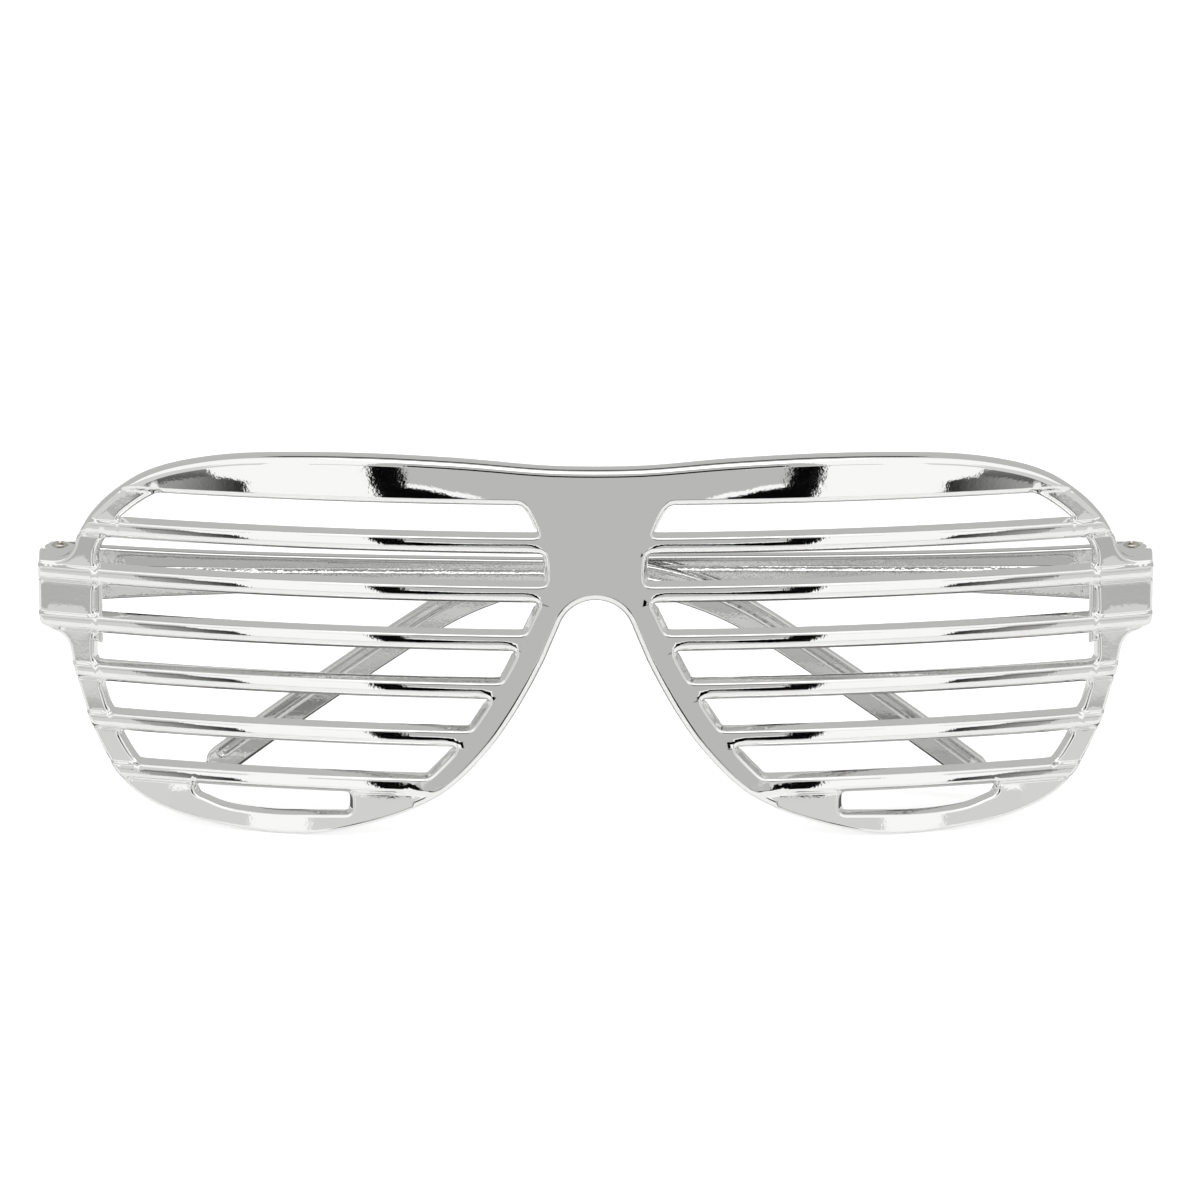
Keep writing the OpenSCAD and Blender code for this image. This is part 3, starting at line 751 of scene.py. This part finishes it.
def screw_head(x, y):
    """Depth of a screw's head: a spherical dome, sqrt(R^2 - r^2) less R - h, with two crossed slots."""
    u, v = np.abs(x) - hinge_x, y - hinge_y
    rise = np.sqrt(np.maximum(dome_r ** 2 - u ** 2 - v ** 2, 0.01)) - (dome_r - head_h)
    return slot_d * np.maximum(slot_cut(u, v), slot_cut(v, u)) - (hinge_top + rise)


def screw_shells(way):
    """The head and the shank of the screw on one side."""
    centre = np.array([way * hinge_x, hinge_y])
    ring = circle(1, np.linspace(0, 2 * pi, 48, endpoint=False))
    across = np.arange(-head_r, head_r, 0.05)
    x, y = np.meshgrid(across, across)
    head_spots = np.stack([x.ravel(), y.ravel()], axis=1) + centre
    head = moulded([centre + ring * (head_r - head_trim)], screw_head, flat(-(hinge_top + head_lift)),
                   [0.03], [0.01], [0.0], head_spots, DOWN, gap=0.06)
    shank = moulded([centre + ring * screw_r], flat(-(hinge_top + shank_up)),
                    flat(-(hinge_low + screw_short)), [0.02], [0.1], [0.0], no_spots, DOWN)
    return [head, shank]


def steel(name):
    """Nickel-plated steel, as small screws are: bright, a little rougher than the plating beside it, with
    handling wear of 0.25 mm, drawn as coarse as it needs to show."""
    wear_per_m, wear_h = 4000.0, 0.00005
    mat, tree, shader = surface(name, "D8D5CE", 1.0, 0.16)
    where = add_node(tree, "ShaderNodeTexCoord").outputs["Object"]
    wear = add_node(tree, "ShaderNodeTexNoise", {"Scale": wear_per_m, "Detail": 2.0}, {"Vector": where})
    bump = add_node(tree, "ShaderNodeBump", {"Strength": 0.1, "Distance": wear_h},
                    {"Height": wear.outputs["Fac"]})
    tree.links.new(bump.outputs["Normal"], shader.inputs["Normal"])
    return mat


for way, side in ((-1, "right"), (1, "left")):
    screw = piece_of(side + "_screw", screw_shells(way))
    screw.data.materials.append(steel(side + "_screw_steel"))
    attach(screw, "front")
    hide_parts(side + "_hinge_screw")


# Sheet
# White studio paper, matt, that the glasses lie on: level under and behind them, then over the table's
# edge and down in front, so that the plating mirrors the dark cards below the edge too.
sheet_half_w, sheet_z = 4000, -27.4
sheet_way = [(4000, 0), (3, 0), (0, -0.5), (-3, -2.5), (-40, -38), (-46, -43), (-2500, -1560)]


def paper(name, code, glow, in_mirrors):
    """Matt paper. The camera sees it lighter by glow, as a burnt-out white ground, and mirrors see a share
    of that."""
    mat, tree, shader = surface(name, code, 0.0, 0.9)
    shader.inputs["Specular IOR Level"].default_value = 0.0
    ray = add_node(tree, "ShaderNodeLightPath").outputs
    mirrors = add_node(tree, "ShaderNodeMath", {"operation": "MAXIMUM"},
                       {0: ray["Is Glossy Ray"], 1: ray["Is Transmission Ray"]})
    part = add_node(tree, "ShaderNodeMath", {"operation": "MULTIPLY", 1: in_mirrors}, {0: mirrors.outputs[0]})
    seen = add_node(tree, "ShaderNodeMath", {"operation": "MAXIMUM"},
                    {0: ray["Is Camera Ray"], 1: part.outputs[0]})
    strength = add_node(tree, "ShaderNodeMath", {"operation": "MULTIPLY", 1: glow}, {0: seen.outputs[0]})
    shader.inputs["Emission Color"].default_value = (1, 1, 1, 1)
    tree.links.new(strength.outputs[0], shader.inputs["Emission Strength"])
    return mat


corners = [(x * 0.001, y * 0.001, (sheet_z + z) * 0.001) for y, z in sheet_way
           for x in (-sheet_half_w, sheet_half_w)]
mesh = bpy.data.meshes.new("white_sheet")
mesh.from_pydata(corners, [], [[i, i + 1, i + 3, i + 2] for i in range(0, len(corners) - 2, 2)])
mesh.shade_smooth()
sheet = bpy.data.objects.new("white_sheet", mesh)
sheet.data.materials.append(paper("white_paper", "E0E0E0", 0.62, 0.25))
bpy.context.scene.collection.objects.link(sheet)


# Cards
# Lit and dark studio cards stand in an arc before the glasses, on both sides, so that the bright plating
# has something to mirror. One more lies beneath, on the sheet under the glasses: painted shadow, a grey
# card that stands in for the shade there. Two hang overhead. They are seen in mirrors only, and give no
# light and no shadow.
card_arc = 1400.0


def glowing(name, code, strength=1.0):
    """A card that is evenly lit: it shows its own colour, times the strength, and nothing else."""
    mat = bpy.data.materials.new(name)
    mat.use_nodes = True
    tree = mat.node_tree
    tree.nodes.remove(tree.nodes["Principled BSDF"])
    glow = add_node(tree, "ShaderNodeEmission", {"Color": linear(code), "Strength": strength})
    tree.links.new(glow.outputs["Emission"], tree.nodes["Material Output"].inputs["Surface"])
    return mat


def graded(name, codes, axis, start, end):
    """A lit card whose shade changes smoothly along one axis, from one distance in mm to another; along X
    the same way to both sides."""
    mat = glowing(name, codes[0])
    tree = mat.node_tree
    where = add_node(tree, "ShaderNodeTexCoord").outputs["Object"]
    place = add_node(tree, "ShaderNodeSeparateXYZ", {}, {0: where})
    out = add_node(tree, "ShaderNodeMath", {"operation": "ABSOLUTE" if axis == "X" else "ADD", 1: 0.0},
                   {0: place.outputs[axis]})
    share = add_node(tree, "ShaderNodeMapRange", {"interpolation_type": "SMOOTHSTEP",
                     "From Min": 0.001 * start, "From Max": 0.001 * end}, {"Value": out.outputs[0]})
    shade = add_node(tree, "ShaderNodeMix", {"data_type": "RGBA", 6: linear(codes[0]), 7: linear(codes[1])},
                     {0: share.outputs["Result"]})
    tree.links.new(shade.outputs[2], tree.nodes["Emission"].inputs["Color"])
    return mat


def stand_card(name, mat, points, faces):
    """Puts up one card, from points in mm, that only mirrors see."""
    mesh = bpy.data.meshes.new(name)
    mesh.from_pydata((np.array(points) * 0.001).tolist(), [], faces)
    mesh.materials.append(mat)
    obj = bpy.data.objects.new(name, mesh)
    obj.visible_camera = obj.visible_diffuse = obj.visible_shadow = False
    bpy.context.scene.collection.objects.link(obj)


def card(name, mat, spans):
    """Curved card on the arc, and its mirror image. Each span gives a direction to the side and the lowest
    and highest angle there, in degrees, as seen from the glasses."""
    direction, bottom, top = np.radians(np.array(spans, float)).T
    n = len(spans)
    faces = [[i, i + 1, n + i + 1, n + i] for i in range(n - 1)]
    for way, end in ((1, "left"), (-1, "right")):
        x, y = way * card_arc * np.sin(direction), -card_arc * np.cos(direction)
        points = np.vstack([np.column_stack([x, y, card_arc * np.tan(a)]) for a in (bottom, top)])
        stand_card(name + "_" + end, mat, points, faces)


def arc(low, high, bottom, top, step=2.5):
    """Spans of a card with level edges between two directions."""
    return [(a, bottom, top) for a in np.linspace(low, high, 2 + int((high - low) / step))]


def up(angle):
    """Height on the arc that is seen from the glasses at an angle in degrees."""
    return card_arc * tan(radians(angle))


def aside(angle):
    """Distance to the side on the arc that is seen from the glasses at an angle in degrees."""
    return card_arc * sin(radians(angle))


black, white = glowing("black_card", "060606"), glowing("white_card", "FFFFFF")
grey = graded("grey_card", ("5C5C5B", "D8D8D7"), "Z", up(-13), up(-5))
fading = graded("fading_card", ("060606", "A8A8A6"), "X", aside(35), aside(47))
side_grey = graded("side_card", ("D6D6D5", "B4B4B3"), "Z", up(-12.2), up(-10.6))
light = glowing("light_card", "D6D6D5")
card("low_black_card", black, [(2, -22, -18.5), (8, -24, -19.3), (13, -26, -21), (18.8, -30, -17.5)])
card("low_white_card", white, [(2, -18.4, -17.6), (8, -19.2, -18), (13, -20.8, -18.4), (18.8, -17.3, -15)])
card("black_card", black, arc(18.8, 22.2, -29, -3))
card("high_black_card", black, arc(0, 18, 5, 22))
card("white_card", white, arc(22.2, 36, -50, -3))
card("middle_white_card", white, arc(28, 34, -3, 14))
card("top_white_card", white, arc(22.2, 46, 14, 70))
card("nose_white_card", white, arc(22.2, 28, 5, 14))
card("nose_light_card", light, arc(12, 28, -3, 5))
card("end_light_card", light, arc(34, 42, -3, 14))
card("end_white_card", white, [(36, -16, -3), (37.5, -14.5, -3), (39.5, -13, -3), (41, -8, -3),
                               (42, -3.1, -3)])
card("fading_card", fading, [(36, -32.5, -16), (37.5, -32.5, -14.5), (39.5, -32.5, -13), (43, -32.5, -13),
                             (46, -32.5, -13)])
card("grey_card", grey, [(39.5, -13, -12.9), (41, -13, -8), (42, -13, -3)])
card("outer_grey_card", grey, arc(42, 46, -13, 14))
card("side_card", side_grey, arc(46, 95, -35, -9.2))
card("side_light_card", light, arc(46, 95, -9.2, 25))
card("side_white_card", white, arc(46, 95, 25, 75))

# The card under the glasses is painted shadow: a flat grey that stands in, in mirrors, for the shade on the
# sheet beneath them.
bright, painted_shadow = glowing("bright_card", "FFFFFF", 1.8), glowing("painted_shadow_card", "5A5A59")
for name, mat, out_x, near, far, high in (("overhead_black_card", black, 250, 120, 360, 700),
                                          ("overhead_white_card", bright, 250, -550, -80, 700),
                                          ("under_painted_shadow_card", painted_shadow, 80, 18, 34, sheet_z + 0.1)):
    plan = [(-out_x, near), (out_x, near), (out_x, far), (-out_x, far)]
    stand_card(name, mat, [(x, y, high) for x, y in plan], [[0, 1, 2, 3]])


# Light
# Three square soft boxes, one above and one to each side, light the glasses and the sheet. They don't show
# in the plating, which mirrors the cards and an even grey studio round them.
def lamp(name, spot, aim, size, power):
    """Soft box: a square area lamp at a spot, turned to its aim, both in mm, with its power in watts."""
    data = bpy.data.lights.new(name, "AREA")
    data.shape = "SQUARE"
    data.size = size * 0.001
    data.energy = power
    obj = bpy.data.objects.new(name, data)
    obj.location = Vector(spot) * 0.001
    obj.rotation_euler = (Vector(aim) - Vector(spot)).to_track_quat("-Z", "Y").to_euler()
    obj.visible_glossy = False
    bpy.context.scene.collection.objects.link(obj)


lamp("top_box", (0, -600, 1100), (0, -200, -100), 700, 6.0)
lamp("left_box", (1100, -700, 700), (0, 0, 0), 600, 3.5)
lamp("right_box", (-1100, -700, 700), (0, 0, 0), 600, 3.5)

studio = bpy.data.worlds.new("studio")
studio.use_nodes = True
studio.node_tree.nodes["Background"].inputs["Color"].default_value = linear("BDBDBC")
studio.node_tree.nodes["Background"].inputs["Strength"].default_value = 1.0
bpy.context.scene.world = studio


# Camera
# The photograph is taken 820 mm away, from 11.2 degrees above the glasses' own level, with the frame
# about 158 mm wide at the glasses.
camera = bpy.data.cameras.new("camera")
camera.sensor_width = 36.0
camera.lens = 187.1
camera.clip_start, camera.clip_end = 0.01, 20.0
eye = bpy.data.objects.new("camera", camera)
aim, elevation, away = Vector((0.00057, -0.0015, 0.0052)), radians(11.2), 0.82
eye.location = aim + Vector((0, -cos(elevation), sin(elevation))) * away
eye.rotation_euler = (pi / 2 - elevation, 0, 0)
bpy.context.scene.collection.objects.link(eye)
bpy.context.scene.camera = eye
bpy.context.scene.view_settings.view_transform = "Standard"
